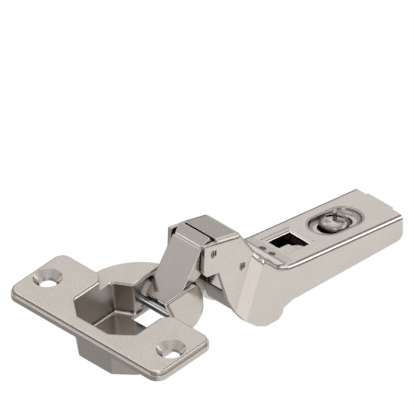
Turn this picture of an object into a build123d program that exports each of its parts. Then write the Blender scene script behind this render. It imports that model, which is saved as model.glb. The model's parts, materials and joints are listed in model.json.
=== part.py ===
from build123d import *
import math
import os

os.makedirs("parts", exist_ok=True)

# Frame: origin at the centre of the cup bore on the door surface, +Z out of the
# door, +Y along the pins, +X from the cup towards the arm. All sizes in mm.

# Cup and wing flange
bore_r = 17.5
collar_r = 17.4
cup_depth = 11.0
floor_z = -9.8
collar_band = 1.2
tub_wall = 0.85
tub_end_x = 15.0
pin_seat = 1.2
flange_x0 = -19.8
flange_x1 = 1.0
flange_len = 55.5
flange_t = 2.8
flange_step = 1.5
flange_inset = 0.45
flange_r = 3.3
flange_round = 0.6
lip_a = 0.35
lip_b = 0.75
screw_x = -9.5
screw_pitch = 45.0
screw_hole_r = 2.3
screw_sink_r = 3.9

# Pocket in the cup
pocket_x0 = -15.4
pocket_x1 = 2.7
pocket_hw = 11.1
near_hw = 5.6
near_cx = -11.2
slot_x0 = 5.2
slot_x1 = 15.9
slot_hw = 6.3
floor_open_x = 3.3
floor_round = 0.55

# Arm frame: laid along the arm, raised end of the flange gives the fold angle
arm_tilt = 4.85
web_tilt = 6.35
arm_o = Vector(screw_x, 0, flange_t)
ca = math.cos(math.radians(arm_tilt))
sa = math.sin(math.radians(arm_tilt))
cw = math.cos(math.radians(arm_tilt + web_tilt))
sw = math.sin(math.radians(arm_tilt + web_tilt))
side = Plane(origin=arm_o, x_dir=(ca, 0, -sa), z_dir=(0, -1, 0))
cup_side = Plane(origin=(0, 0, 0), x_dir=(1, 0, 0), z_dir=(0, -1, 0))

# Pivots: two in the cup, two in the arm head
pin1_x, pin1_z = 17.2, -6.8
pin1_r = 1.1
pin2_x, pin2_z = 12.8, -3.2
pin2_r = 0.9
head_a_x, head_a_z = 31.5, 6.3
head_b_x, head_b_z = 41.9, -2.7
head_pin_r = 1.0
run_gap = 0.05
stake_r = 1.45
stake_h = 0.3

# Arm sheet
arm_t = 1.2
name_tilt = math.radians(13.4)
name_x, name_z = 33.0, 9.8
name_end_x, name_end_z = 41.4, 7.8
head_x0 = 28.2
crank_slope = 1.536
jog_top_z = 12.0
jog_top = 50.6
jog_run = 3.0
jog_in = 0.5
jog_lean = 0.4
jog_end_x = jog_top + jog_run - jog_top_z * jog_lean
jog_end_z = (name_end_z - crank_slope * (jog_end_x - name_end_x)) / (1 + crank_slope * jog_lean)
crank = [(jog_end_x + jog_lean * jog_end_z, jog_end_z), (53.4, -7.6), (56.7, -8.95)]
head_hw = 6.7
body_hw = 8.85
web_end = 98.3
web_ref_x = 60.0
web_ref_z = -9.49
web_slope = -math.tan(math.radians(web_tilt))
bend_r = 1.4

# Links, held between the cheeks of the arm's head with side play
side_play = 0.3
inner_play = 0.25
link_hw = head_hw - arm_t - side_play
link_t = 1.0
ear_r = 1.9
inner_hw = link_hw - link_t - inner_play
inner_eye_r = 1.5
inner_half_t = 0.95
ring_r = 4.1
ring_bore_r = 3.1
ring_dx, ring_dz = 0.42, 1.8
ring_swing = 1.87

# Fixing screw recess and window, measured along the web from the screw
screw_u = 82.1
dish_r = 4.6
dish_straight = 7.1
dish_depth = 1.15
slot_straight = 5.6
slot_r = 2.7
win_u0 = -21.2
win_u1 = -12.2
win_hw = 4.15
tongue_u = 3.6
tongue_v = -0.8
head_screw_r = 4.1
head_screw_h = 2.8
head_round = 1.2
shank_r = 2.5
dish_u = 0.3
seat_gap = 0.02

# Carrier plate and side screw inside the arm body
car_t = 1.2
car_hw = body_hw - arm_t - 0.35
car_top = arm_t + dish_depth + seat_gap
car_low = -6.4
car_u0 = -20.8
car_u1 = 11.5
car_len = car_u1 - car_u0
car_step = -5.6
side_u = -13.8
side_head_r = 3.8
side_head_h = 2.38
side_seat = seat_gap
side_shank_r = 2.0
spring_t = 0.8

web_z_screw = web_ref_z + web_slope * (screw_u - web_ref_x)
web_o = arm_o + Vector(ca, 0, -sa) * screw_u + Vector(sa, 0, ca) * web_z_screw
web = Plane(origin=web_o, x_dir=(cw, 0, -sw), z_dir=(sw, 0, cw))
web_side = Plane(origin=web_o, x_dir=(cw, 0, -sw), z_dir=(0, -1, 0))

# Cup: flange, collar and pocket cast as one piece
flange_cx = (flange_x0 + flange_x1) / 2
flange_w = flange_x1 - flange_x0
with BuildPart() as cup_body:
    # lower tier, then the raised plateau with its rounded edge
    with BuildSketch(Plane.XY):
        with Locations((flange_cx, 0)):
            RectangleRounded(flange_w, flange_len, flange_r)
    extrude(amount=flange_step)
    fillet(cup_body.faces().sort_by(Axis.Z)[-1].edges(), radius=0.15)
    with BuildSketch(Plane.XY.offset(flange_step)):
        with Locations((flange_cx, 0)):
            RectangleRounded(flange_w - 2 * flange_inset, flange_len - 2 * flange_inset, flange_r - flange_inset)
    extrude(amount=flange_t - flange_step)
    fillet(cup_body.faces().sort_by(Axis.Z)[-1].edges(), radius=flange_round)
    with BuildSketch(Plane.XY):
        Circle(collar_r)
    extrude(amount=-collar_band)
    # faceted tub below the collar, its arm end cut back to a slope
    tub_hw = slot_hw + 1.9
    with BuildSketch(Plane.XY.offset(-collar_band)) as tub:
        with BuildLine():
            Polyline(
                (pocket_x0 - tub_wall, -near_hw - 0.35), (near_cx - 0.4, -pocket_hw - tub_wall),
                (pocket_x1 + 0.6, -pocket_hw - tub_wall), (slot_x0 + 1.4, -tub_hw), (tub_end_x, -tub_hw),
                (tub_end_x, tub_hw), (slot_x0 + 1.4, tub_hw), (pocket_x1 + 0.6, pocket_hw + tub_wall),
                (near_cx - 0.4, pocket_hw + tub_wall), (pocket_x0 - tub_wall, near_hw + 0.35), close=True,
            )
        make_face()
        fillet(tub.vertices().group_by(Axis.X)[0], radius=1.5)
    extrude(amount=-(cup_depth - collar_band), taper=2.5)
    fillet(cup_body.faces().sort_by(Axis.Z)[0].edges(), radius=1.1)
    with BuildSketch(cup_side):
        with BuildLine():
            Polyline((15.4, -4.8), (12.2, -12.0), (20.0, -12.0), (20.0, -4.8), close=True)
        make_face()
    extrude(amount=20, both=True, mode=Mode.SUBTRACT)
    # pocket: wide part with a floor, narrow slot open below
    with BuildSketch(Plane.XY.offset(flange_t)) as pocket:
        with BuildLine():
            Polyline(
                (pocket_x0, -near_hw), (near_cx, -pocket_hw), (pocket_x1, -pocket_hw),
                (slot_x0, -slot_hw), (slot_x1, -slot_hw), (slot_x1, slot_hw),
                (slot_x0, slot_hw), (pocket_x1, pocket_hw), (near_cx, pocket_hw),
                (pocket_x0, near_hw), close=True,
            )
        make_face()
        fillet(pocket.vertices(), radius=0.9)
    extrude(amount=-(flange_t - floor_z - floor_round), mode=Mode.SUBTRACT)
    with BuildSketch(Plane.XY.offset(floor_z + floor_round)):
        add(pocket.sketch)
    extrude(amount=-floor_round, taper=45, mode=Mode.SUBTRACT)
    # rounded lip of the pocket on the flange, steep below and flat above
    with BuildSketch(Plane.XY.offset(flange_t)) as lip_low:
        add(pocket.sketch)
        offset(amount=lip_a, mode=Mode.REPLACE)
    extrude(amount=-lip_a / math.tan(math.radians(27)), taper=27, mode=Mode.SUBTRACT)
    with BuildSketch(Plane.XY.offset(flange_t)) as lip_high:
        add(pocket.sketch)
        offset(amount=lip_b, mode=Mode.REPLACE)
    extrude(amount=-(lip_b - lip_a) * 0.55, taper=61, mode=Mode.SUBTRACT)
    # the same lip on the collar, arm side only
    with BuildSketch(Plane.XY) as collar_lip:
        add(pocket.sketch)
        offset(amount=lip_a, mode=Mode.REPLACE)
        with Locations((11.4, 0)):
            Rectangle(20, 60, mode=Mode.INTERSECT)
    extrude(amount=-lip_a / math.tan(math.radians(35)), taper=35, mode=Mode.SUBTRACT)
    with BuildSketch(Plane.XY.offset(floor_z)):
        with Locations(((floor_open_x + slot_x1) / 2, 0)):
            Rectangle(slot_x1 - floor_open_x, 2 * slot_hw - 0.6)
    extrude(amount=-(cup_depth + floor_z), mode=Mode.SUBTRACT)
    # lowered rim where the rear link passes over the arm side
    with BuildSketch(Plane.XY):
        with Locations((slot_x1 + 1.5, 0)):
            Rectangle(4, 2 * inner_hw + 1.4)
    extrude(amount=-2.4, mode=Mode.SUBTRACT)
    # flared corners where the pocket breaks the arm side of the flange
    with BuildSketch(Plane.XY.offset(flange_t)):
        with BuildLine():
            Polyline((-2.2, 11.3), (0.9, 14.4), (1.2, 14.4), (1.2, 11.0), (-2.2, 11.0), close=True)
        make_face()
        with BuildLine():
            Polyline((-2.2, -11.3), (0.9, -14.4), (1.2, -14.4), (1.2, -11.0), (-2.2, -11.0), close=True)
        make_face()
    extrude(amount=-flange_t, mode=Mode.SUBTRACT)
    with Locations(Location((screw_x, screw_pitch / 2, flange_t)), Location((screw_x, -screw_pitch / 2, flange_t))):
        CounterSinkHole(radius=screw_hole_r, counter_sink_radius=screw_sink_r, depth=flange_t)
    # seats of the two cup pins
    with BuildSketch(side):
        with Locations((pin1_x, pin1_z)):
            Circle(pin1_r)
    extrude(amount=slot_hw + pin_seat, both=True, mode=Mode.SUBTRACT)
    with BuildSketch(cup_side):
        with Locations((pin2_x, pin2_z)):
            Circle(pin2_r)
    extrude(amount=slot_hw + pin_seat, both=True, mode=Mode.SUBTRACT)
cup_body.part.label = "cup_body"
export_step(cup_body.part, "parts/cup_body.step")

# Front cup pin, carries the outer link
with BuildPart() as cup_pin_front:
    with BuildSketch(side):
        with Locations((pin1_x, pin1_z)):
            Circle(pin1_r)
    extrude(amount=slot_hw + pin_seat, both=True)
    chamfer(cup_pin_front.edges().filter_by(GeomType.CIRCLE), length=0.25)
cup_pin_front.part.label = "cup_pin_front"
export_step(cup_pin_front.part, "parts/cup_pin_front.step")

# Rear cup pin, carries the inner link
with BuildPart() as cup_pin_rear:
    with BuildSketch(cup_side):
        with Locations((pin2_x, pin2_z)):
            Circle(pin2_r)
    extrude(amount=slot_hw + pin_seat, both=True)
    chamfer(cup_pin_rear.edges().filter_by(GeomType.CIRCLE), length=0.2)
cup_pin_rear.part.label = "cup_pin_rear"
export_step(cup_pin_rear.part, "parts/cup_pin_rear.step")

# Outer link: folded channel, plate outside, two cheeks holding both pins
plate_dir = Vector(0.576, 0.817)
plate_nrm = Vector(0.817, -0.576)
plate_a = Vector(18.6, -5.4)
plate_b = plate_a + plate_dir * 17.6
plate_in_a = plate_a + plate_nrm * link_t
plate_in_b = plate_b + plate_nrm * link_t
plate_axis = side.x_dir * plate_dir.X + side.y_dir * plate_dir.Y
plate_out = side.x_dir * -plate_nrm.X + side.y_dir * -plate_nrm.Y
plate_o = side.from_local_coords((plate_a.X, plate_a.Y, 0))
plate_section = Plane(origin=plate_o, x_dir=(0, 1, 0), z_dir=plate_axis)
plate_face = Plane(origin=plate_o, x_dir=(0, 1, 0), z_dir=plate_out)
with BuildPart() as outer_link:
    with BuildSketch(side):
        with BuildLine():
            Polyline(
                (16.9, -4.95), (18.6, -5.4), (plate_b.X, plate_b.Y), (31.4, 10.7),
                (31.9, 9.6), (33.0, 7.9), (33.6, 6.3), (33.1, 4.9), (31.5, 4.1), (27.8, 0.5),
                (25.5, -0.6), (21.7, -2.3), (19.3, -4.8), (18.6, -7.4), close=True,
            )
        make_face()
        with Locations((pin1_x, pin1_z)):
            Circle(ear_r)
    extrude(amount=link_hw, both=True)
    # rounded folds between plate and cheeks
    with BuildSketch(plate_section) as fold:
        with Locations((0, -20 * plate_section.y_dir.dot(plate_out))):
            Rectangle(2 * link_hw, 40)
        fillet(fold.vertices(), radius=0.9)
    extrude(amount=40, both=True, mode=Mode.INTERSECT)
    with BuildSketch(side):
        with BuildLine():
            Polyline(
                (plate_in_a.X, plate_in_a.Y), (plate_in_b.X, plate_in_b.Y), (32.2, 9.55), (36.0, 8.0),
                (36.0, -3.0), (22.0, -14.0), (12.0, -12.0), (12.0, -3.0),
                (plate_a.X - 1.5, plate_a.Y + 1.0), (plate_a.X, plate_a.Y), close=True,
            )
        make_face()
    extrude(amount=link_hw - link_t, both=True, mode=Mode.SUBTRACT)
    # relief ends of the slot over the cup pin
    with BuildSketch(plate_face):
        with Locations((3.45, 0), (-3.45, 0)):
            Circle(0.7)
    extrude(amount=1.6, both=True, mode=Mode.SUBTRACT)
    with BuildSketch(side):
        with Locations((pin1_x, pin1_z)):
            Circle(pin1_r + run_gap)
        with Locations((head_a_x, head_a_z)):
            Circle(head_pin_r + run_gap)
    extrude(amount=link_hw + 1, both=True, mode=Mode.SUBTRACT)
outer_link.part.label = "outer_link"
export_step(outer_link.part, "parts/outer_link.step")

# Inner link: arched bar with a close eye in the cup and an oversize ring in the head
head_b = side.from_local_coords((head_b_x, head_b_z, 0))
ring_x = head_b.X + ring_dx
ring_z = head_b.Z + ring_dz
with BuildPart() as inner_link:
    with BuildSketch(cup_side):
        with BuildLine():
            Spline(
                (pin2_x, pin2_z), (15.1, -0.7), (17.4, 1.6), (20.6, 2.85), (24.6, 2.4),
                (ring_x - 3.4, ring_z + 1.0),
            )
        trace(line_width=2 * inner_half_t)
        with Locations((pin2_x, pin2_z)):
            Circle(inner_eye_r)
        with Locations((ring_x, ring_z)):
            Circle(ring_r)
            Circle(ring_bore_r, mode=Mode.SUBTRACT)
    extrude(amount=inner_hw, both=True)
    with BuildSketch(cup_side):
        with Locations((pin2_x, pin2_z)):
            Circle(pin2_r + run_gap)
    extrude(amount=inner_hw + 1, both=True, mode=Mode.SUBTRACT)
inner_link.part.label = "inner_link"
export_step(inner_link.part, "parts/inner_link.step")

# Head pins, staked outside both cheeks
with BuildPart() as head_pin_front:
    with BuildSketch(side):
        with Locations((head_a_x, head_a_z)):
            Circle(head_pin_r)
    extrude(amount=head_hw, both=True)
    with BuildSketch(side.offset(head_hw), side.offset(-head_hw - stake_h)):
        with Locations((head_a_x, head_a_z)):
            Circle(stake_r)
    extrude(amount=stake_h)
    fillet(head_pin_front.faces().sort_by(Axis.Y)[0].edges(), radius=0.2)
    fillet(head_pin_front.faces().sort_by(Axis.Y)[-1].edges(), radius=0.2)
head_pin_front.part.label = "head_pin_front"
export_step(head_pin_front.part, "parts/head_pin_front.step")

with BuildPart() as head_pin_rear:
    with BuildSketch(side):
        with Locations((head_b_x, head_b_z)):
            Circle(head_pin_r)
    extrude(amount=head_hw, both=True)
    with BuildSketch(side.offset(head_hw), side.offset(-head_hw - stake_h)):
        with Locations((head_b_x, head_b_z)):
            Circle(stake_r)
    extrude(amount=stake_h)
    fillet(head_pin_rear.faces().sort_by(Axis.Y)[0].edges(), radius=0.2)
    fillet(head_pin_rear.faces().sort_by(Axis.Y)[-1].edges(), radius=0.2)
head_pin_rear.part.label = "head_pin_rear"
export_step(head_pin_rear.part, "parts/head_pin_rear.step")

# Sleeve on the front head pin between the link cheeks
with BuildPart() as pin_sleeve:
    with BuildSketch(side):
        with Locations((head_a_x, head_a_z)):
            Circle(head_pin_r + 0.75)
            Circle(head_pin_r, mode=Mode.SUBTRACT)
    extrude(amount=link_hw - link_t - 0.15, both=True)
pin_sleeve.part.label = "pin_sleeve"
export_step(pin_sleeve.part, "parts/pin_sleeve.step")

# Arm: one cranked folded sheet, narrow head in front, wide body behind
jog_dir = side.x_dir * -jog_lean + side.y_dir * -1.0
plan = Plane(origin=side.from_local_coords((0, jog_top_z, 0)), x_dir=side.x_dir, z_dir=side.y_dir)
web_section = Plane(origin=web_o, x_dir=(0, 1, 0), z_dir=web.x_dir)
web_u0 = (56.0 - screw_u) / math.cos(math.radians(web_tilt))
web_u1 = (web_end - screw_u) / math.cos(math.radians(web_tilt))
head_in = head_hw - arm_t
body_in = body_hw - arm_t

web_end_z = web_ref_z + web_slope * (web_end - web_ref_x)
far_x = 130.0

# inside of the folded sheet: under the web, open below, at both ends and above the links
with BuildPart() as arm_inside:
    with BuildSketch(plan):
        with BuildLine():
            Polyline(
                (10, -head_in), (10, head_in), (jog_top + jog_in, head_in),
                (jog_top + jog_run + jog_in, body_in),
                (far_x, body_in), (far_x, -body_in), (jog_top + jog_run + jog_in, -body_in),
                (jog_top + jog_in, -head_in), close=True,
            )
        make_face()
    extrude(amount=60, dir=jog_dir)
    with BuildSketch(side) as under_web:
        with BuildLine():
            Polyline(
                (15.0, name_z + 18.0 * math.tan(name_tilt)), (name_end_x, name_end_z), *crank,
                (web_ref_x, web_ref_z),
                (110.0, web_ref_z + web_slope * 50.0), (110.0, -50.0), (15.0, -50.0), close=True,
            )
        make_face()
        offset(amount=-arm_t, mode=Mode.REPLACE)
        with Locations((name_x - 10.0, 5.0)):
            Rectangle(20.0, 30.0)
    extrude(amount=20, both=True, mode=Mode.INTERSECT)

# line of the folds, where web and cheeks meet
with BuildLine() as fold_line:
    Polyline(
        side.from_local_coords((head_x0, name_z + (name_x - head_x0) * math.tan(name_tilt), 0)),
        side.from_local_coords((name_end_x, name_end_z, 0)),
        *[side.from_local_coords((x, z, 0)) for x, z in crank],
        side.from_local_coords((web_ref_x, web_ref_z, 0)),
        side.from_local_coords((web_end, web_end_z, 0)),
    )

with BuildPart() as arm:
    # outside of the sheet: plan with the step from head to body width, cut to the side outline
    with BuildSketch(plan):
        with BuildLine():
            Polyline(
                (20, -head_hw), (20, head_hw), (jog_top, head_hw), (jog_top + jog_run, body_hw),
                (far_x, body_hw), (far_x, -body_hw), (jog_top + jog_run, -body_hw),
                (jog_top, -head_hw), close=True,
            )
        make_face()
    extrude(amount=52, dir=jog_dir)
    with BuildSketch(side) as outline:
        with BuildLine():
            Polyline(
                (head_x0, name_z + (name_x - head_x0) * math.tan(name_tilt)), (name_end_x, name_end_z), *crank,
                (web_ref_x, web_ref_z), (web_end, web_end_z), (web_end, -19.6),
                (web_end - 0.7, -20.6), (web_end - 1.7, -21.0),
                (60.0, -20.35), (58.2, -20.3), (54.9, -21.2), (54.3, -22.9), (52.9, -24.0), (48.4, -23.9),
                (45.0, -22.2), (40.9, -18.7), (39.3, -15.9), (36.75, -11.1), (33.4, -0.5),
                (28.9, 0.3), (27.8, 1.9), close=True,
            )
        make_face()
        fillet(outline.vertices().sort_by_distance((name_end_x, name_end_z, 0))[0], radius=1.5)
        fillet(outline.vertices().sort_by_distance((53.4, -7.6, 0))[0], radius=5.0)
        fillet(outline.vertices().sort_by_distance((56.7, -8.95, 0))[0], radius=6.0)
    extrude(amount=20, both=True, mode=Mode.INTERSECT)
    # folds along both long edges
    fold_edges = arm.edges().filter_by(
        lambda e: abs((e @ 0.5).Y) > head_hw - 0.1
        and fold_line.line.distance_to(Vector((e @ 0.5).X, 0, (e @ 0.5).Z)) < 0.5
        and abs((e @ 0).X - (e @ 1).X) > 0.05
    )
    fillet(fold_edges, radius=bend_r)
    add(arm_inside.part, mode=Mode.SUBTRACT)
    # free front corners of the head cheeks
    with BuildSketch(side) as head_top:
        with BuildLine():
            Polyline((name_x, 9.15), (28.2, 9.9), (20.0, 9.9), (20.0, 16.0), (name_x, 16.0), close=True)
        make_face()
    extrude(amount=20, both=True, mode=Mode.SUBTRACT)
    # opening in the crank for the swing of the inner link's ring
    ring_reach = ring_r + ring_swing + 0.3
    with BuildSketch(plan):
        with Locations((45.4, 0)):
            Rectangle(ring_reach, 2 * inner_hw + 0.9)
    extrude(amount=-(jog_top_z + 5.0), mode=Mode.SUBTRACT)
    # pressed seat of the fixing screw with its slot
    with BuildSketch(web.offset(-arm_t)):
        with Locations((dish_u, 0)):
            SlotOverall(dish_straight + 2 * dish_r + 0.8, 2 * dish_r + 0.8)
    extrude(amount=-dish_depth, taper=20)
    with BuildSketch(web):
        with Locations((dish_u, 0)):
            SlotOverall(dish_straight + 2 * dish_r, 2 * dish_r)
    extrude(amount=-dish_depth, taper=12, mode=Mode.SUBTRACT)
    with BuildSketch(web):
        with Locations((dish_u, 0)):
            SlotOverall(slot_straight + 2 * slot_r, 2 * slot_r)
    extrude(amount=-6, mode=Mode.SUBTRACT)
    # window over the side screw, one corner left as a tongue
    with BuildSketch(web) as window:
        with BuildLine():
            Polyline(
                (win_u0, tongue_v), (win_u0, win_hw), (win_u1, win_hw), (win_u1, -win_hw),
                (win_u0 + tongue_u, -win_hw), (win_u0 + tongue_u, tongue_v), close=True,
            )
        make_face()
        fillet(window.vertices(), radius=0.4)
    extrude(amount=-3, mode=Mode.SUBTRACT)
    # pressed dimples at the crank
    with BuildSketch(web):
        with Locations((web_u0 + 1.6, 1.7), (web_u0 + 1.6, -1.7)):
            Circle(0.55)
    extrude(amount=-0.5, mode=Mode.SUBTRACT)
    # end tab
    with BuildSketch(web):
        with Locations((web_u1 + 0.2, 0)):
            Rectangle(1.0, 8.9)
    extrude(amount=-arm_t)
    # holes of the two head pins
    with BuildSketch(side):
        with Locations((head_a_x, head_a_z), (head_b_x, head_b_z)):
            Circle(head_pin_r)
    extrude(amount=head_hw + 1, both=True, mode=Mode.SUBTRACT)
arm.part.label = "arm"
export_step(arm.part, "parts/arm.step")

# Closing spring: formed leaf in the belly of the head, held between the cheeks
with BuildPart() as closing_spring:
    with BuildSketch(side):
        with BuildLine():
            Spline(
                (41.0, -13.2), (41.3, -16.6), (43.2, -18.9), (46.8, -18.6), (48.9, -15.6), (49.2, -12.2),
                (51.0, -10.6),
            )
        trace(line_width=spring_t)
    extrude(amount=head_in, both=True)
closing_spring.part.label = "closing_spring"
export_step(closing_spring.part, "parts/closing_spring.step")

# Carrier: stepped plate inside the arm body, low under the window, high under the slot
with BuildPart() as carrier:
    with BuildSketch(web_side):
        with BuildLine():
            Polyline(
                (car_u0, car_low), (car_step - 2.6, car_low), (car_step, -car_top), (car_u1, -car_top),
                (car_u1, -car_top - car_t), (car_step + 0.7, -car_top - car_t),
                (car_step - 1.9, car_low - car_t), (car_u0, car_low - car_t), close=True,
            )
        make_face()
    extrude(amount=car_hw, both=True)
    with BuildSketch(web_section.offset(car_u0)):
        with Locations((car_hw - car_t / 2, car_low - 1.4), (-car_hw + car_t / 2, car_low - 1.4)):
            Rectangle(car_t, 2.8)
    extrude(amount=car_len)
    with BuildSketch(web.offset(-car_top)):
        Circle(shank_r + run_gap)
    extrude(amount=-car_t - 0.2, mode=Mode.SUBTRACT)
    with BuildSketch(web.offset(car_low)):
        with Locations((side_u, 0)):
            Circle(side_shank_r + run_gap)
    extrude(amount=-car_t - 0.2, mode=Mode.SUBTRACT)
carrier.part.label = "carrier"
export_step(carrier.part, "parts/carrier.step")

# Fixing screw: domed head with cross recess in the dished slot
with BuildPart() as fixing_screw:
    with BuildSketch(web.offset(seat_gap - dish_depth)):
        Circle(head_screw_r)
    extrude(amount=head_screw_h)
    fillet(fixing_screw.edges().filter_by(GeomType.CIRCLE).group_by(Axis.Z)[-1], radius=head_round)
    with BuildSketch(web.offset(seat_gap + head_screw_h - dish_depth)):
        Rectangle(4.2, 0.85)
        Rectangle(0.85, 4.2)
    extrude(amount=-1.8, mode=Mode.SUBTRACT, taper=8)
    with BuildSketch(web.offset(seat_gap - dish_depth)):
        Circle(shank_r)
    extrude(amount=-6.4)
    fillet(fixing_screw.edges().filter_by(GeomType.CIRCLE).group_by(Axis.Z)[0], radius=0.3)
fixing_screw.part.label = "fixing_screw"
export_step(fixing_screw.part, "parts/fixing_screw.step")

# Side screw: head with cross recess under the window
with BuildPart() as side_screw:
    with BuildSketch(web.offset(car_low + side_seat)):
        with Locations((side_u, 0)):
            Circle(side_head_r)
    extrude(amount=side_head_h - 0.5)
    with BuildSketch(web.offset(car_low + side_seat + side_head_h - 0.5)):
        with Locations((side_u, 0)):
            Circle(side_head_r)
    extrude(amount=0.5, taper=40)
    with BuildSketch(web.offset(car_low + side_seat + side_head_h)):
        with Locations((side_u, 0)):
            Rectangle(3.9, 0.8)
            Rectangle(0.8, 3.9)
    extrude(amount=-1.3, mode=Mode.SUBTRACT, taper=6)
    with BuildSketch(web.offset(car_low + side_seat)):
        with Locations((side_u, 0)):
            Circle(side_shank_r)
    extrude(amount=-4.6)
side_screw.part.label = "side_screw"
export_step(side_screw.part, "parts/side_screw.step")
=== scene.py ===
"""Looks, camera and light for the concealed cup hinge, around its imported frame. Metres."""
import json
import math

import bmesh
import bpy
import numpy as np
from mathutils import Matrix, Vector


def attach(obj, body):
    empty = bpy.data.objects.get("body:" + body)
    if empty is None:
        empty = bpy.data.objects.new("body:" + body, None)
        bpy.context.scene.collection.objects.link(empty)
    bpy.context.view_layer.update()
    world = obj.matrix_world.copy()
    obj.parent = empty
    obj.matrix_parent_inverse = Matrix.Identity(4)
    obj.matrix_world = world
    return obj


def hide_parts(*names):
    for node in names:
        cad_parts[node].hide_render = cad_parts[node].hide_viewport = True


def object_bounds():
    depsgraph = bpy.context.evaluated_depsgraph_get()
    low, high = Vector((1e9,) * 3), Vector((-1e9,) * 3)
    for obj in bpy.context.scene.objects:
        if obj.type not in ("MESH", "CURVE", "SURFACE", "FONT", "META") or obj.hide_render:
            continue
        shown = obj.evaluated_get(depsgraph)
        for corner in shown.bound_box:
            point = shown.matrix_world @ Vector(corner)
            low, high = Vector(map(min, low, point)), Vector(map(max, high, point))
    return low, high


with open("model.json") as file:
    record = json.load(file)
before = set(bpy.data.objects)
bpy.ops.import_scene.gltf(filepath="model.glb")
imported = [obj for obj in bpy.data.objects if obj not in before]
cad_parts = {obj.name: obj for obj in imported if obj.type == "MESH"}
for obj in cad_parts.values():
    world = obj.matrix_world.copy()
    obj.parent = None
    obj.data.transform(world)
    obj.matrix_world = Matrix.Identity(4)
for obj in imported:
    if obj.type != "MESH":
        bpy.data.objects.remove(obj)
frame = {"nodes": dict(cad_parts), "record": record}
cad_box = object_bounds()

# Camera: orthographic, at the photo's angle. The image's right, up and back
# directions are written in the part's frame; the flange's top centre lies at
# a known pixel, and one millimetre spans a known number of pixels.
IMAGE = 414
PX_PER_MM = 3.875
RIGHT = Vector((0.7046, -0.7071, -0.0598))
UP = Vector((0.4758, 0.4082, 0.7791))
BACK = Vector((-0.5265, -0.5774, 0.6241))
FLANGE_TOP = Vector((-0.0095, 0.0, 0.0028))
FLANGE_PX = (109.3, 313.25)
CAMERA_AWAY = 0.4

scene = bpy.context.scene
scene.render.resolution_x = IMAGE
scene.render.resolution_y = IMAGE
scene.render.resolution_percentage = 100
cam_data = bpy.data.cameras.new("camera")
cam_data.type = "ORTHO"
cam_data.ortho_scale = IMAGE / PX_PER_MM / 1000
cam_data.clip_start = 0.01
cam_data.clip_end = 5.0
cam = bpy.data.objects.new("camera", cam_data)
scene.collection.objects.link(cam)
across = (IMAGE / 2 - FLANGE_PX[0]) / PX_PER_MM / 1000
above = (FLANGE_PX[1] - IMAGE / 2) / PX_PER_MM / 1000
target = FLANGE_TOP + RIGHT * across + UP * above
turn = Matrix((RIGHT, UP, BACK)).transposed().to_4x4()
cam.matrix_world = Matrix.Translation(target + BACK * CAMERA_AWAY) @ turn
scene.camera = cam
scene.view_settings.view_transform = "Standard"
scene.view_settings.look = "None"

# Studio: the room that the metal mirrors, painted into the world by direction.
# From below it runs from a bright sheet over a dark horizon to a soft box
# overhead, and where the camera looks past the part it is plain white.


def shader_node(tree, kind, inputs, operation=None, colour=False, smooth=False):
    """A new shader node. Each input takes the value given for it, or a link from an output."""
    node = tree.nodes.new("ShaderNode" + kind)
    if operation:
        node.operation = operation
    if colour:
        node.data_type = "RGBA"
    if smooth:
        node.interpolation_type = "SMOOTHSTEP"
    for name, value in inputs.items():
        if isinstance(value, bpy.types.NodeSocket):
            tree.links.new(value, node.inputs[name])
        else:
            node.inputs[name].default_value = value
    return node


studio = bpy.data.worlds.new("studio")
scene.world = studio
studio.use_nodes = True
room = studio.node_tree
room.nodes.clear()
aim = shader_node(room, "TexCoord", {}).outputs["Generated"]
height = shader_node(room, "SeparateXYZ", {0: aim}).outputs["Z"]
upward = shader_node(room, "MapRange", {"Value": height, "From Min": -1.0, "From Max": 1.0})
sky = shader_node(room, "ValToRGB", {"Fac": upward.outputs["Result"]})

# Place from straight below to straight above, and brightness there.
SKY_STOPS = [
    (0.00, 0.80), (0.19, 0.92), (0.38, 0.74), (0.465, 0.16), (0.54, 0.18),
    (0.60, 0.58), (0.69, 0.92), (0.81, 0.86), (0.88, 1.45), (1.00, 2.10),
]
stops = sky.color_ramp.elements
while len(stops) < len(SKY_STOPS):
    stops.new(0.5)
for stop, (place, bright) in zip(stops, SKY_STOPS):
    stop.position = place
    stop.color = (bright, bright, bright, 1)

# Around the horizon one side is dimmer: the first line is for the lower half
# of the room and the second for the upper. Each gives the bright side's
# direction, where along it the dimming is full and where it is gone, and the
# share of light that is left on the dim side.
sides = []
for direction, low, high, least in (
    ((0.62, -0.78, 0.0), -0.35, 0.35, 0.43),
    ((0.87, 0.50, 0.0), -0.40, 0.50, 0.72),
):
    toward = shader_node(room, "VectorMath", {0: aim, 1: direction}, "DOT_PRODUCT")
    sides.append(shader_node(room, "MapRange", {
        "Value": toward.outputs["Value"],
        "From Min": low, "From Max": high, "To Min": least, "To Max": 1.0,
    }, smooth=True).outputs["Result"])
upper = shader_node(room, "MapRange", {"Value": height, "From Min": -0.05, "From Max": 0.05})
side = shader_node(room, "Mix", {"Factor": upper.outputs["Result"], "A": sides[0], "B": sides[1]})
level = shader_node(
    room, "Math", {0: sky.outputs["Color"], 1: side.outputs["Result"]}, "MULTIPLY",
).outputs["Value"]

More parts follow.
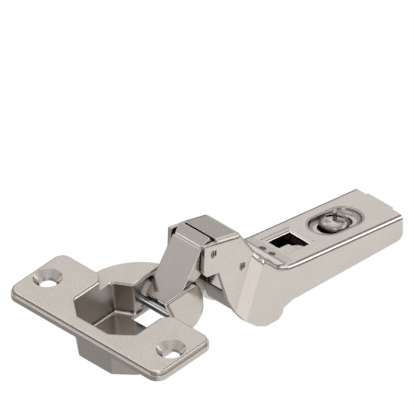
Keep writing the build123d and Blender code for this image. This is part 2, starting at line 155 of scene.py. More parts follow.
# Cards in the studio: direction, angle of the full card, angle where it has
# faded out, brightness. Bright and dark ones side by side draw the fine lines
# that the photo shows along every bend.
CARDS = [
    ((0.69, -0.70, 0.18), 4, 12, 2.6),
    ((0.35, -0.92, 0.16), 4, 12, 2.0),
    ((0.92, -0.36, 0.18), 4, 12, 1.8),
    ((0.58, -0.75, -0.33), 4, 11, 0.12),
    ((0.85, -0.45, -0.30), 4, 11, 0.15),
    ((0.77, -0.27, 0.57), 5, 14, 0.15),
    ((-0.48, 0.58, 0.66), 7, 15, 2.2),
    ((0.0, 0.577, 0.816), 3, 14, 0.45),
    ((-0.80, 0.577, 0.144), 4, 12, 0.15),
    ((-0.474, -0.874, -0.122), 10, 20, 1.05),
    ((0.814, 0.577, -0.063), 4, 9, 1.0),
    ((0.53, -0.03, 0.85), 13, 21, 0.18),
    ((0.53, -0.83, 0.19), 5, 13, 2.4),
    ((0.35, 0.93, -0.04), 16, 26, 0.06),
    ((-0.55, -0.78, 0.30), 9, 18, 2.4),
    ((-0.224, 0.577, 0.786), 6, 15, 0.62),
    ((0.02, 0.31, 0.95), 5, 12, 0.20),
]
for direction, full, gone, bright in CARDS:
    near = shader_node(
        room, "VectorMath", {0: aim, 1: Vector(direction).normalized()}, "DOT_PRODUCT",
    )
    card = shader_node(room, "MapRange", {
        "Value": near.outputs["Value"],
        "From Min": math.cos(math.radians(gone)), "From Max": math.cos(math.radians(full)),
    }, smooth=True)
    level = shader_node(
        room, "Mix", {"Factor": card.outputs["Result"], "A": level, "B": bright},
    ).outputs["Result"]
WARM_WHITE = (1.0, 0.985, 0.965)
WHITE = (1, 1, 1, 1)
tinted = shader_node(room, "VectorMath", {0: WARM_WHITE, "Scale": level}, "SCALE")
mirrored = shader_node(room, "Background", {"Color": tinted.outputs["Vector"], "Strength": 1.0})
behind = shader_node(room, "Background", {"Color": WHITE, "Strength": 1.0})
to_camera = shader_node(room, "LightPath", {}).outputs["Is Camera Ray"]
either = shader_node(
    room, "MixShader", {"Fac": to_camera, 1: mirrored.outputs[0], 2: behind.outputs[0]},
)
shader_node(room, "OutputWorld", {"Surface": either.outputs[0]})

# Floor: a pale plain sheet under the part. It is white to the camera and lets
# every other ray through to the bright sheet painted into the lower studio.
FLOOR_REACH, FLOOR_GAP = 0.6, 0.004
low = cad_box[0][2] - FLOOR_GAP
floor_mesh = bpy.data.meshes.new("floor")
floor_mesh.from_pydata([
    (-FLOOR_REACH, -FLOOR_REACH, low), (FLOOR_REACH, -FLOOR_REACH, low),
    (FLOOR_REACH, FLOOR_REACH, low), (-FLOOR_REACH, FLOOR_REACH, low),
], [], [(0, 1, 2, 3)])
floor = bpy.data.objects.new("floor", floor_mesh)
scene.collection.objects.link(floor)
floor_white = bpy.data.materials.new("floor_white")
floor_white.use_nodes = True
tree = floor_white.node_tree
tree.nodes.clear()
to_camera = shader_node(tree, "LightPath", {}).outputs["Is Camera Ray"]
clear = shader_node(tree, "BsdfTransparent", {})
glow = shader_node(tree, "Emission", {"Color": WHITE})
either = shader_node(
    tree, "MixShader", {"Fac": to_camera, 1: clear.outputs[0], 2: glow.outputs[0]},
)
shader_node(tree, "OutputMaterial", {"Surface": either.outputs[0]})
floor_mesh.materials.append(floor_white)

# Cup: one zinc casting with a wing flange, a round collar and a faceted pocket,
# tumbled and plated with satin nickel. All metal pieces of the hinge share this
# plating, so the effect is one node group, and each piece gives it its values.
plate = bpy.data.node_groups.new("plated_metal", "ShaderNodeTree")
for name, kind, way in (
    ("Colour", "Color", "INPUT"), ("Roughness", "Float", "INPUT"), ("Grain", "Float", "INPUT"),
    ("Mottle", "Float", "INPUT"), ("Edge", "Float", "INPUT"), ("Round", "Float", "INPUT"),
    ("Shade", "Float", "INPUT"), ("Pocket", "Float", "INPUT"), ("Colour", "Color", "OUTPUT"),
    ("Roughness", "Float", "OUTPUT"), ("Normal", "Vector", "OUTPUT"),
):
    plate.interface.new_socket(name=name, in_out=way, socket_type="NodeSocket" + kind)
given = plate.nodes.new("NodeGroupInput").outputs
result = plate.nodes.new("NodeGroupOutput").inputs
spot = shader_node(plate, "TexCoord", {}).outputs["Object"]
normal = shader_node(plate, "NewGeometry", {}).outputs["Normal"]

# Fine grain of the plating: it moves the normal, the roughness and the colour.
fine = shader_node(
    plate, "TexNoise", {"Vector": spot, "Scale": 2600.0, "Detail": 3.0},
).outputs["Fac"]
bevel = shader_node(plate, "Bevel", {"Radius": given["Round"]})
bevel.samples = 6
rounded = bevel.outputs["Normal"]
bumped = shader_node(plate, "Bump", {
    "Normal": rounded, "Height": fine, "Strength": given["Grain"], "Distance": 0.00003,
})
uneven = shader_node(plate, "Math", {0: fine, 1: 0.5}, "SUBTRACT")
rough = shader_node(
    plate, "Math", {0: uneven.outputs["Value"], 1: 0.12, 2: given["Roughness"]}, "MULTIPLY_ADD",
)
speck = shader_node(plate, "MapRange", {
    "Value": fine, "From Min": 0.25, "From Max": 0.75, "To Min": 0.80, "To Max": 1.12,
})
grains = shader_node(
    plate, "VectorMath", {0: given["Colour"], "Scale": speck.outputs["Result"]}, "SCALE",
)
flecked = shader_node(plate, "Mix", {
    "Factor": given["Grain"], "A": given["Colour"], "B": grains.outputs["Vector"],
}, colour=True)

# Soft mottling over a few millimetres, and a painted highlight that makes edges a little brighter:
# there the rounded normal leaves the face's own.
soft = shader_node(
    plate, "TexNoise", {"Vector": spot, "Scale": 170.0, "Detail": 4.0},
).outputs["Fac"]
cloud = shader_node(plate, "MapRange", {
    "Value": soft, "From Min": 0.3, "From Max": 0.7, "To Min": 0.80, "To Max": 1.0,
}).outputs["Result"]
grey = shader_node(plate, "CombineColor", {0: cloud, 1: cloud, 2: cloud})
mottled = shader_node(plate, "Mix", {}, colour=True)
mottled.blend_type = "MULTIPLY"
plate.links.new(given["Mottle"], mottled.inputs["Factor"])
plate.links.new(flecked.outputs["Result"], mottled.inputs["A"])
plate.links.new(grey.outputs["Color"], mottled.inputs["B"])
facing = shader_node(plate, "VectorMath", {0: rounded, 1: normal}, "DOT_PRODUCT")
edge = shader_node(
    plate, "MapRange", {"Value": facing.outputs["Value"], "From Min": 1.0, "From Max": 0.80},
)
edge_highlight = shader_node(plate, "Math", {0: edge.outputs["Result"], 1: given["Edge"]}, "MULTIPLY")
edge_highlighted = shader_node(plate, "Mix", {
    "Factor": edge_highlight.outputs["Value"], "A": mottled.outputs["Result"], "B": (0.93, 0.91, 0.88, 1),
}, colour=True)

# Duller plating and painted shade in the casting's pocket: steep walls near the middle, below the
# flange's top, that face the middle, get more roughness and a darker colour. The darker colour is
# painted shade.
POCKET_HALF, POCKET_TOP, STEEP = 0.0112, 0.0021, 0.5
place = shader_node(plate, "SeparateXYZ", {0: spot})
leaning = shader_node(plate, "SeparateXYZ", {0: normal})
from_middle = shader_node(plate, "Math", {0: place.outputs["Y"]}, "ABSOLUTE")
outward = shader_node(plate, "VectorMath", {0: spot, 1: normal}, "DOT_PRODUCT")
inside = given["Pocket"]
for measure, limit in (
    (from_middle.outputs["Value"], POCKET_HALF), (outward.outputs["Value"], 0.0),
    (leaning.outputs["Z"], STEEP), (place.outputs["Z"], POCKET_TOP),
):
    test = shader_node(plate, "Math", {0: measure, 1: limit}, "LESS_THAN")
    inside = shader_node(
        plate, "Math", {0: inside, 1: test.outputs["Value"]}, "MULTIPLY",
    ).outputs["Value"]
dull_and_shaded = shader_node(plate, "Mix", {
    "Factor": inside, "A": edge_highlighted.outputs["Result"], "B": (0.42, 0.385, 0.355, 1),
}, colour=True)
matt = shader_node(plate, "Math", {0: inside, 1: 0.16, 2: rough.outputs["Value"]}, "MULTIPLY_ADD")

# Corners and slots get less light: the share of open sky round a point, to a
# power, mixes the metal with a warm dark.
corners = shader_node(plate, "AmbientOcclusion", {"Distance": 0.012})
corners.samples = 8
openness = shader_node(plate, "MapRange", {
    "Value": corners.outputs["AO"],
    "From Min": 0.08, "From Max": 0.92, "To Min": 0.0, "To Max": 1.0,
})
power = shader_node(plate, "Math", {0: openness.outputs["Result"], 1: 1.2}, "POWER")
lit = shader_node(
    plate, "Mix", {"Factor": given["Shade"], "A": 1.0, "B": power.outputs["Value"]},
)
shaded = shader_node(plate, "Mix", {
    "Factor": lit.outputs["Result"], "A": (0.055, 0.044, 0.036, 1), "B": dull_and_shaded.outputs["Result"],
}, colour=True)
plate.links.new(shaded.outputs["Result"], result["Colour"])
plate.links.new(matt.outputs["Value"], result["Roughness"])
plate.links.new(bumped.outputs["Normal"], result["Normal"])

made = {}
node_slot = {entry["node"]: entry["material_slot"] for entry in frame["record"]["subparts"]}


def plated(name, colour, roughness, grain, mottle, edge, radius, shade, pocket=0.0):
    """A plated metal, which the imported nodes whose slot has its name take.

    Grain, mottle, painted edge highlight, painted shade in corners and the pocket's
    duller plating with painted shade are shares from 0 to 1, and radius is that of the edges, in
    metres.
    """
    metal = bpy.data.materials.new(name)
    metal.use_nodes = True
    tree = metal.node_tree
    shader = tree.nodes["Principled BSDF"]
    shader.inputs["Metallic"].default_value = 1.0
    shader.inputs["Base Color"].default_value = colour
    shader.inputs["Roughness"].default_value = roughness
    finish = tree.nodes.new("ShaderNodeGroup")
    finish.node_tree = plate
    values = (colour, roughness, grain, mottle, edge, radius, shade, pocket)
    for socket, value in zip(finish.inputs, values):
        socket.default_value = value
    for ours, theirs in (
        ("Colour", "Base Color"), ("Roughness", "Roughness"), ("Normal", "Normal"),
    ):
        tree.links.new(finish.outputs[ours], shader.inputs[theirs])
    made[name] = metal
    for node, slot in node_slot.items():
        if slot == name:
            for material_slot in frame["nodes"][node].material_slots:
                material_slot.material = metal


plated(
    "cast_nickel", colour=(0.62, 0.580, 0.545, 1), roughness=0.17, grain=0.60, mottle=0.30,
    edge=0.30, radius=0.00006, shade=0.28, pocket=1.0,
)

# Lips of the pocket: the casting's upper edges are rounded by the die, and tumbling polishes them
# smoother than the faces; their lighter colour is a painted highlight. One lip runs along the
# flange and one along each side of the collar, seated on the chamfer.
MM = 0.001
POCKET_CORNER = 0.9
FLANGE_LEVEL, COLLAR_LEVEL = 2.8, 0.0
LIP_RADIUS, LIP_LIFT = 0.75, 0.02
QUARTER = np.radians(np.linspace(0, 90, 13))
plated(
    "lip_nickel", colour=(0.66, 0.618, 0.580, 1), roughness=0.15, grain=0.30, mottle=0.30,
    edge=0.00, radius=0.00002, shade=0.10,
)
WELD = 1e-7


def add_surface(
    name, grid, metal, body, closed=False, ring=False, marked=None, mark=None, smooth=True,
):
    """A piece from a grid of points, which rides on a body and takes a metal.

    Each face joins four neighbours of the grid, and in a ring the last row joins
    the first. The faces of an open sheet are turned so that their areas' sum
    points up. Those of a closed shell are turned so that the sum of each area
    times its face's way from the shell's middle is positive. A face with three
    or more marked points takes the second metal.
    """
    rows, cols = grid.shape[:2]
    row = np.arange(rows if ring else rows - 1)[:, None]
    col = np.arange(cols - 1)[None, :]
    here, following = row * cols + col, (row + 1) % rows * cols + col
    faces = np.stack([here, here + 1, following + 1, following], axis=-1).reshape(-1, 4)
    points = grid.reshape(-1, 3)
    first, second, third, fourth = (points[faces[:, k]] for k in range(4))
    area = np.cross(third - first, fourth - second)
    if closed:
        from_middle = (first + second + third + fourth) / 4 - points.mean(axis=0)
        outward = np.einsum("ij,ij->", area, from_middle)
    else:
        outward = area[:, 2].sum()
    if outward < 0:
        faces = faces[:, ::-1]
    mesh = bpy.data.meshes.new(name)
    mesh.from_pydata(points.tolist(), [], faces.tolist())
    mesh.polygons.foreach_set("use_smooth", [smooth] * len(mesh.polygons))
    mesh.materials.append(made[metal])
    if mark:
        mesh.materials.append(made[mark])
        is_marked = marked.reshape(-1)[faces].sum(axis=1) >= 3
        mesh.polygons.foreach_set("material_index", is_marked.astype(int))
    welded = bmesh.new()
    welded.from_mesh(mesh)
    bmesh.ops.remove_doubles(welded, verts=welded.verts, dist=WELD)
    welded.to_mesh(mesh)
    welded.free()
    piece = bpy.data.objects.new(name, mesh)
    scene.collection.objects.link(piece)
    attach(piece, body)
    return piece


def rounded_path(corners, radius, steps=10):
    """Points and left-hand normals along a polyline with rounded corners.

    Each inner corner becomes an arc. Its middle lies back from the corner by
    the radius times the tangent of half the turn, and one radius to the side
    the path turns to. The arc's points are that middle less the radius times
    the normal, which turns evenly from the straight before to the one after.
    """
    corners = np.array(corners, float)
    ahead = np.diff(corners, axis=0)
    ahead = ahead / np.linalg.norm(ahead, axis=1)[:, None]
    left = np.stack([-ahead[:, 1], ahead[:, 0]], axis=-1)
    before, after, start = ahead[:-1], ahead[1:], left[:-1]
    turn = np.arctan2(
        before[:, 0] * after[:, 1] - before[:, 1] * after[:, 0], (before * after).sum(axis=1),
    )
    back = radius * np.tan(np.abs(turn) / 2)
    signed = (np.sign(turn) * radius)[:, None]
    middle = corners[1:-1] - before * back[:, None] + start * signed
    angle = turn[:, None] * np.arange(steps + 1)[None, :] / steps
    normals = np.stack([
        start[:, 0, None] * np.cos(angle) - start[:, 1, None] * np.sin(angle),
        start[:, 0, None] * np.sin(angle) + start[:, 1, None] * np.cos(angle),
    ], axis=-1)
    arcs = middle[:, None, :] - normals * signed[:, None, :]
    places = np.concatenate([corners[:1], arcs.reshape(-1, 2), corners[-1:]])
    return places, np.concatenate([left[:1], normals.reshape(-1, 2), left[-1:]])


def swept(path, normals, reach, height):
    """Profile carried along a level path, in millimetres: each point of the path
    moved sideways along its normal by the profile's reach, and set at its height."""
    grid = np.zeros((len(path), len(reach), 3))
    grid[:, :, :2] = path[:, None, :] + normals[:, None, :] * reach[None, :, None]
    grid[:, :, 2] = height[None, :]
    return grid


def add_lip(name, corners, level):
    """Quarter round along the pocket's outline, falling from a level top into the pocket:
    its reach is the radius less the sine, and its height the top less the radius plus
    the cosine, both of a circle that is larger by the lift over the casting."""
    path, normals = rounded_path(corners, POCKET_CORNER)
    reach = LIP_RADIUS - (LIP_RADIUS + LIP_LIFT) * np.sin(QUARTER)
    height = level - LIP_RADIUS + (LIP_RADIUS + LIP_LIFT) * np.cos(QUARTER)
    add_surface(name, swept(path, normals, reach, height) * MM, "lip_nickel", "cup")


add_lip("pocket_lip", [
    (-2.2, -11.1), (-11.2, -11.1), (-15.4, -5.6), (-15.4, 5.6), (-11.2, 11.1), (-2.2, 11.1),
], FLANGE_LEVEL)
collar_side = np.array([(1.2, 11.1), (2.7, 11.1), (5.2, 6.3), (15.6, 6.3)])
add_lip("collar_lip_left", collar_side[::-1], COLLAR_LEVEL)
add_lip("collar_lip_right", collar_side * (1, -1), COLLAR_LEVEL)

# Foot of the pocket's walls: the die leaves a hollow quarter round between the
# walls and the floor of the casting. It lies over the chamfer, along the
# pocket's outline.
FLOOR_LEVEL, FOOT_RADIUS, FOOT_LIFT = -9.8, 1.0, 0.01
path, normals = rounded_path([
    (4.9, -6.3), (4.6, -7.4), (2.7, -11.1), (-11.2, -11.1), (-15.4, -5.6),
    (-15.4, 5.6), (-11.2, 11.1), (2.7, 11.1), (4.6, 7.4), (4.9, 6.3),
], POCKET_CORNER)
foot = swept(
    path, normals, -(FOOT_RADIUS * (1 - np.cos(QUARTER)) + FOOT_LIFT),
    FLOOR_LEVEL + FOOT_LIFT + FOOT_RADIUS * (1 - np.sin(QUARTER)),
)
add_surface("pocket_foot", foot * MM, "cast_nickel", "cup")

# Cup pins: two plain round pins of ground steel, pressed through the cup's side
# walls. The front one shows in the slot, bright and a little blue.
plated(
    "pin_steel", colour=(0.46, 0.48, 0.52, 1), roughness=0.18, grain=0.10, mottle=0.20,
    edge=0.20, radius=0.00005, shade=0.70,
)

# Links: two strips of steel sheet, blanked and folded to channels, plated. The
# outer link's plate runs straight down to the front cup pin with square
# corners, and stops just short of it.
plated(
    "link_nickel", colour=(0.64, 0.598, 0.562, 1), roughness=0.16, grain=0.35, mottle=0.22,
    edge=0.35, radius=0.00030, shade=0.90,
)
LINK_MID = np.array([14.3, 0.0, 2.6])
LINK_OUT = np.array([-0.766, 0.0, 0.643])
LINK_DOWN = np.array([-0.643, 0.0, -0.766])
ACROSS = np.array([0.0, 1.0, 0.0])
LINK_HALF, LINK_PLATE, LINK_EDGE, LINK_PROUD = 5.2, 1.0, 0.22, 0.06
EDGE_POINTS = 5
PLATE_TOP, PLATE_END, WIDTH_LOSS = -8.1, 9.0, 0.08
# The plate's section is a rectangle with round corners, taken once round. Over
# the last bit before its lower end it shrinks a little, and both ends close.
corner = np.radians(np.linspace(0, 90, EDGE_POINTS))
turns = np.concatenate([corner + quarter * math.pi / 2 for quarter in range(4)])
sign_y = np.repeat([1, -1, -1, 1], EDGE_POINTS)
sign_n = np.repeat([1, 1, -1, -1], EDGE_POINTS)
section_y = sign_y * (LINK_HALF - LINK_EDGE) + LINK_EDGE * np.cos(turns)
section_n = sign_n * (LINK_PLATE / 2 - LINK_EDGE) + LINK_EDGE * np.sin(turns)
before_end = np.array([0.14, 0.07, 0.02, 0.0, 0.0])
down = np.concatenate([[PLATE_TOP, PLATE_TOP], PLATE_END - before_end])
thick = np.array([0.0, 1.0, 1.0, 0.97, 0.90, 0.80, 0.0])
wide = np.where(thick == 0, 0, 1 - (1 - thick) * WIDTH_LOSS)
link_plate = (
    LINK_MID + LINK_OUT * (LINK_PROUD - LINK_PLATE / 2)
    + LINK_DOWN * down[None, :, None]
    + ACROSS * (section_y[:, None] * wide[None, :])[:, :, None]
    + LINK_OUT * (section_n[:, None] * thick[None, :])[:, :, None]
)
add_surface(
    "link_plate", link_plate * MM, "link_nickel", "outer_link",
    closed=True, ring=True, smooth=False,
)

# Strip behind the front cup pin: the slot between the outer link's plate and the pin looks dark, so
# a turned strip of the link's steel is assumed to close it behind. Its form is a guess: an arc
# round the pin with square edges. It is a dark sheet that stands in for the shade in the slot: it
# takes a dark metal of painted shade, which the later pieces share for their cuts and hollows.
plated(
    "stamp_steel", colour=(0.15, 0.138, 0.127, 1), roughness=0.28, grain=0.30, mottle=0.60,
    edge=0.60, radius=0.00003, shade=1.00,
)
EYE_MID = np.array([7.063, 0.0, -5.430])
EYE_IN, EYE_OUT, EYE_HALF, EYE_POINTS = 1.42, 1.72, 4.1, 27
bend = np.radians(np.linspace(196, 238, EYE_POINTS))
turns = np.concatenate([bend, bend[::-1]])
side_radius = np.repeat([EYE_IN, EYE_OUT], EYE_POINTS)
mid_radius = (EYE_IN + EYE_OUT) / 2
thick = np.array([0.0, 1.0, 1.0, 0.0])
radius = mid_radius + (side_radius[:, None] - mid_radius) * thick[None, :]
link_eye = (
    EYE_MID + ACROSS * (EYE_HALF * np.array([-1, -1, 1, 1]))[None, :, None]
    + LINK_DOWN * (radius * np.cos(turns)[:, None])[:, :, None]
    + LINK_OUT * (radius * np.sin(turns)[:, None])[:, :, None]
)
add_surface("link_eye", link_eye * MM, "stamp_steel", "outer_link", closed=True, ring=True)

# Arm: one strip of steel sheet, blanked, cranked and folded to a channel, then
# plated. Its head holds the links, and its sloping top has a window over the
# side screw, with a border pressed round it.
plated(
    "sheet_nickel", colour=(0.69, 0.645, 0.608, 1), roughness=0.15, grain=0.55, mottle=0.22,
    edge=0.35, radius=0.00010, shade=0.25,
)
TOP_TILT = math.radians(11.2)
SCREW = np.array([71.2957, 0.0, -16.0480])
WINDOW_NEAR, WINDOW_FAR, WINDOW_HALF = -21.2, -12.2, 4.15
BORDER_HALF, BORDER_HIGH, BORDER_LIFT = 0.26, 0.10, 0.004


def on_top(u, v, w):
    """Points in the part's frame, in metres, from the arm's sloping top, in millimetres.

    From the fixing screw's middle, u runs down the slope, v across and w off
    the sheet: x and z are u and w turned by the tilt, and y is v.
    """
    u, v, w = np.broadcast_arrays(u, v, w)
    return np.stack([
        SCREW[0] + u * math.cos(TOP_TILT) + w * math.sin(TOP_TILT),
        v,
        SCREW[2] - u * math.sin(TOP_TILT) + w * math.cos(TOP_TILT),
    ], axis=-1) * MM


def swept_on_top(path, normals, reach, rise):
    """Profile carried along a path on the arm's top: each point of the path moved
    sideways along its normal by the profile's reach, and lifted by its rise."""
    grid = swept(path, normals, reach, rise)
    return on_top(grid[:, :, 0], grid[:, :, 1], grid[:, :, 2])


path, normals = rounded_path([
    (WINDOW_NEAR - 0.4, WINDOW_HALF + 1.0), (WINDOW_FAR + 1.0, WINDOW_HALF + 1.0),
    (WINDOW_FAR + 1.0, -WINDOW_HALF + 0.6),
], 0.6)
offset = np.linspace(-BORDER_HALF, BORDER_HALF, 11)
swell = BORDER_HIGH * np.cos(offset / BORDER_HALF * math.pi / 2) + BORDER_LIFT
add_surface("window_border", swept_on_top(path, normals, offset, swell), "sheet_nickel", "arm")

# Tongue of the window: a rounded lobe of the same sheet that reaches into the
# window from its near corner. It is a quarter of a superellipse, bent down
# over its outer part like a pressed edge.
TONGUE_LONG, TONGUE_WIDE, TONGUE_POWER, TONGUE_LIFT = 6.8, 3.3, 2.6, 0.02
SINK_FROM, SINK_OVER, SINK_DEEP = 0.45, 0.2, 0.10
TIP_FROM, TIP_OVER, TIP_DEEP = 0.80, 0.20, 0.6
sweep = np.radians(np.linspace(0, 90, 31))[:, None]
share = np.linspace(0.0, 1.0, 25)[None, :]
outline = (
    np.abs(np.cos(sweep) / TONGUE_LONG) ** TONGUE_POWER
    + np.abs(np.sin(sweep) / TONGUE_WIDE) ** TONGUE_POWER
) ** (-1 / TONGUE_POWER)
drop = (
    TONGUE_LIFT - SINK_DEEP * np.clip((share - SINK_FROM) / SINK_OVER, 0, 1)
    - TIP_DEEP * (np.clip(share - TIP_FROM, 0, 1) / TIP_OVER) ** 2.0
)
tongue = on_top(
    WINDOW_NEAR + outline * share * np.cos(sweep),
    -WINDOW_HALF + outline * share * np.sin(sweep),
    drop,
)
add_surface("window_tongue", tongue, "sheet_nickel", "arm")

# Far edges of the window: punching rolls the sheet down into the opening. A
# quarter ellipse runs along both edges, as deep as the sheet.
ROLL_START, ROLL_WIDE, ROLL_DEEP, ROLL_LIFT = 0.12, 0.75, 1.0, 0.012
path, normals = rounded_path([
    (WINDOW_NEAR + 0.1, WINDOW_HALF), (WINDOW_FAR, WINDOW_HALF), (WINDOW_FAR, -WINDOW_HALF + 0.1),
], 0.5)
edges = swept_on_top(
    path, normals, ROLL_START - ROLL_WIDE * np.sin(QUARTER),
    -ROLL_DEEP * (1 - np.cos(QUARTER)) + ROLL_LIFT,
)
add_surface("window_edges", edges, "sheet_nickel", "arm")

# Two punched dimples side by side where the arm leaves its step: small craters with a raised burr,
# higher on one side, sunk between their rims. They take the dark metal, as painted shade in the
# craters.
DIMPLE_U, DIMPLE_V, DIMPLE_LIFT, DIMPLE_SQUASH = -24.66, 1.7, 0.135, 0.95
turns = np.radians(np.linspace(0, 360, 60, endpoint=False))[:, None]
BURR_SHARE, BURR_TURN = 0.25, 0.6
reach, rise = np.array([
    (0.0, 0.0), (0.2, 0.002), (0.4, 0.02), (0.55, 0.07),
    (0.66, 0.105), (0.78, 0.08), (0.92, 0.03), (1.05, -0.02),
]).T[:, None, :]
burr = 1.0 + BURR_SHARE * np.cos(turns - BURR_TURN)
for name, side in (("dimple_left", 1), ("dimple_right", -1)):
    crater = on_top(
        DIMPLE_U + reach * np.cos(turns) * DIMPLE_SQUASH,
        side * DIMPLE_V + reach * np.sin(turns),
        DIMPLE_LIFT + rise * burr,
    )
    add_surface(name, crater, "stamp_steel", "arm", ring=True)

# Head pins and sleeve: round steel pins through the head's cheeks, with a
# sleeve on the front one. Each pin's ends are split by a toothed punch, so
# ridges with deep cuts between them stand out of the cheek.
plated(
    "rivet_steel", colour=(0.55, 0.52, 0.49, 1), roughness=0.22, grain=0.20, mottle=0.40,
    edge=0.30, radius=0.00004, shade=0.80,
)
ARM_TILT = math.radians(4.85)
ARM_X, ARM_Z = -9.5, 2.8
HEAD_PINS = {"head_pin_front": (31.5, 6.3), "head_pin_rear": (41.9, -2.7)}
STAKE_RADIUS, SHAFT_RADIUS, STAKE_LEVEL, NECK_LEVEL = 1.5, 1.0, 6.70, 6.52
RIDGE_ALONG, RIDGE_ASIDE, RIDGE_EVERY, RIDGE_BEND, BEND_RATE = 0.95, 0.31, 0.80, 0.9, 1.9
NOTCH_EVERY, NOTCH_TURN, NOTCH_MEAN, NOTCH_SHARE = 1.9, 0.7, 0.65, 0.35
OUTLINE_MEAN, OUTLINE_SHARE, OUTLINE_TURN, FADE_OVER = 0.86, 0.14, 0.5, 0.18
BASE, SWELL, RIDGE_HIGH, BOSS_LOWEST, BOSS_HIGHEST, CUT_BELOW = -0.05, 0.10, 0.26, -0.16, 0.29, 0.10
ring_share = np.linspace(0.0, 1.0, 50)[None, :]
turns = np.radians(np.linspace(0, 360, 120, endpoint=False))[:, None]
flat_x = STAKE_RADIUS * ring_share * np.cos(turns)
flat_z = STAKE_RADIUS * ring_share * np.sin(turns)
# Ridges are a wave across the end, bent a little and notched the other way;
# they fade to the cheek at an outline that is faintly three-cornered.
slant = flat_x * RIDGE_ALONG - flat_z * RIDGE_ASIDE
cross = flat_z * RIDGE_ALONG + flat_x * RIDGE_ASIDE
ridge = np.cos(slant * 2 * math.pi / RIDGE_EVERY + RIDGE_BEND * np.sin(cross * BEND_RATE))
notch = np.cos(cross * 2 * math.pi / NOTCH_EVERY + NOTCH_TURN)
outline = OUTLINE_MEAN + OUTLINE_SHARE * np.cos(3 * turns - OUTLINE_TURN)
fade = np.clip((outline - ring_share) / FADE_OVER, 0, 1)
boss = BASE + fade * (SWELL + RIDGE_HIGH * ridge * (NOTCH_MEAN + NOTCH_SHARE * notch))
end = STAKE_LEVEL + np.clip(boss, BOSS_LOWEST, BOSS_HIGHEST)
neck = np.full((len(turns), 1), NECK_LEVEL)
depth = np.concatenate([end, neck, -neck, -end[:, ::-1]], axis=1)
# Faces in the cuts take the dark metal: painted shade in the cuts.
cut = boss < CUT_BELOW
shaft_uncut = np.zeros((len(turns), 2), bool)
cuts = np.concatenate([cut, shaft_uncut, cut[:, ::-1]], axis=1)


def both_ends(flat):
    """One end's columns from its middle out, the shaft's two, and the other end's back in."""
    shaft = flat[:, -1:] * (SHAFT_RADIUS / STAKE_RADIUS)
    return np.concatenate([flat, shaft, shaft, flat[:, ::-1]], axis=1)


for node, (arm_x, arm_z) in HEAD_PINS.items():
    local_x, local_z = both_ends(flat_x) + arm_x, both_ends(flat_z) + arm_z
    pin_points = np.stack([
        local_x * math.cos(ARM_TILT) + local_z * math.sin(ARM_TILT) + ARM_X,
        depth,
        -local_x * math.sin(ARM_TILT) + local_z * math.cos(ARM_TILT) + ARM_Z,
    ], axis=-1)
    pin = add_surface(
        node + "_staked", pin_points * MM, "rivet_steel", "arm", closed=True, ring=True,
        marked=cuts, mark="stamp_steel",
    )
    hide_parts(node)

# Closing spring: a leaf of spring steel, held between the head's cheeks, that
# draws the hinge shut. From the camera only its lower edge shows.
plated(
    "spring_steel", colour=(0.62, 0.58, 0.54, 1), roughness=0.24, grain=0.20, mottle=0.50,
    edge=0.20, radius=0.00005, shade=0.60,
)

# Carrier: a pressed steel block that slides in the arm's channel and holds both screws. Only parts
# of it show, dim, through the window and the slot, and its colour is darker than the other plating
# as painted shade inside the arm.
plated(
    "carrier_nickel", colour=(0.42, 0.39, 0.36, 1), roughness=0.30, grain=0.20, mottle=0.30,
    edge=0.25, radius=0.00008, shade=1.00,
)

# Screw seat: the arm's sheet is pressed to a dish round the slot, so it rolls
# over a soft rim and falls to the dish's floor, along a straight-sided oval.
# The oval's points are turned a little, so none lies where an end begins.
plated(
    "screw_nickel", colour=(0.46, 0.430, 0.40, 1), roughness=0.25, grain=0.45, mottle=0.90,
    edge=0.25, radius=0.00004, shade=0.60,
)
SEAT_MIDDLE, SEAT_STRAIGHT, SEAT_RADIUS, SEAT_TURN = 0.3, 3.55, 4.6, 1.25
turns = np.radians(np.linspace(0, 360, 144, endpoint=False) + SEAT_TURN)[:, None]
rim_out, rim_up = np.array([
    (0.62, 0.012), (0.45, 0.035), (0.28, 0.045), (0.14, 0.025), (0.02, -0.04),
    (-0.06, -0.18), (-0.13, -0.36), (-0.20, -0.54), (-0.28, -0.70), (-0.38, -0.84),
    (-0.52, -0.96), (-0.75, -1.05), (-1.05, -1.10), (-1.38, -1.13),
]).T[:, None, :]
ends = SEAT_MIDDLE + SEAT_STRAIGHT * np.sign(np.cos(turns))
radii = SEAT_RADIUS + rim_out
seat = on_top(ends + radii * np.cos(turns), radii * np.sin(turns), rim_up)
# The dish takes the screw's darker metal rather than the sheet's: painted shade in the dish.
add_surface("screw_seat_rim", seat, "screw_nickel", "arm", ring=True)

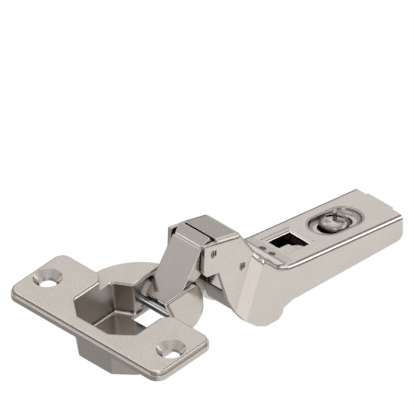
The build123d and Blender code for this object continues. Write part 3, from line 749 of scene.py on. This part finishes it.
# Fixing screw: a steel screw with a domed head and a plain shank, turned and
# plated, with a cross recess punched into the head. The profile is the dome,
# a round rim with a flat underside, and the shank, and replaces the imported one.
DOME_TOP, DOME_FALL = 1.85, 0.075
CROSS_HALF_A, CROSS_HALF_B, CROSS_REACH, CROSS_MIDDLE = 0.56, 0.50, 2.25, 0.75
HEAD_FACE, HOLLOW_TOP, HOLLOW_FALL, MARK_DEEPER, MARK_WITHIN = 2.6, 1.45, 0.30, 0.25, 2.4
dome_radius = np.concatenate([[0.0, 0.12], np.linspace(0.2, 2.5, 36)])
head_rim = [
    (2.8, 1.22), (3.1, 1.00), (3.4, 0.74), (3.65, 0.45), (3.85, 0.16),
    (4.0, -0.15), (4.08, -0.46), (4.1, -0.68), (4.05, -0.83), (3.9, -0.92),
    (3.7, -0.98), (3.4, -1.03), (3.0, -1.07), (2.6, -1.10),
]
shank = [(2.5, -1.12), (2.5, -7.2), (2.3, -7.5), (0.0, -7.5)]
dome = np.stack([dome_radius, DOME_TOP - DOME_FALL * dome_radius ** 2], axis=-1)
radius_at, rise_at = np.concatenate([dome, head_rim, shank]).T[:, None, :]


def soft_step(value, edge, width):
    """One below the edge and zero above it: over the width the change follows
    three times the square less twice the cube of the share."""
    share = np.clip((edge - value) / width + 0.5, 0, 1)
    return share * share * (3 - 2 * share)


turns = np.radians(np.linspace(0, 360, 240, endpoint=False))[:, None]
head_u = radius_at * np.cos(turns)
head_v = radius_at * np.sin(turns)
far = np.hypot(head_u, head_v)
# The cross is two soft-edged slots at right angles, ended at its reach, with
# a round hollow in the middle, deepest there.
arms = np.maximum(
    soft_step(np.abs(head_u + head_v) / math.sqrt(2), CROSS_HALF_A, 0.10),
    soft_step(np.abs(head_u - head_v) / math.sqrt(2), CROSS_HALF_B, 0.10),
) * soft_step(far, CROSS_REACH, 0.12)
deep = HOLLOW_TOP - HOLLOW_FALL * np.clip(far, 0, 2.2)
hollow = np.maximum(arms, soft_step(far, CROSS_MIDDLE, 0.2)) * deep
head_w = rise_at - np.where(far < HEAD_FACE, hollow, 0.0)
# The deeper middle of the recess takes the dark metal: painted shade in the recess.
screw = add_surface(
    "fixing_screw_head", on_top(head_u, head_v, head_w), "screw_nickel", "fixing_screw",
    closed=True, ring=True,
    marked=(hollow > MARK_DEEPER) & (far < MARK_WITHIN), mark="stamp_steel",
)
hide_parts("fixing_screw")
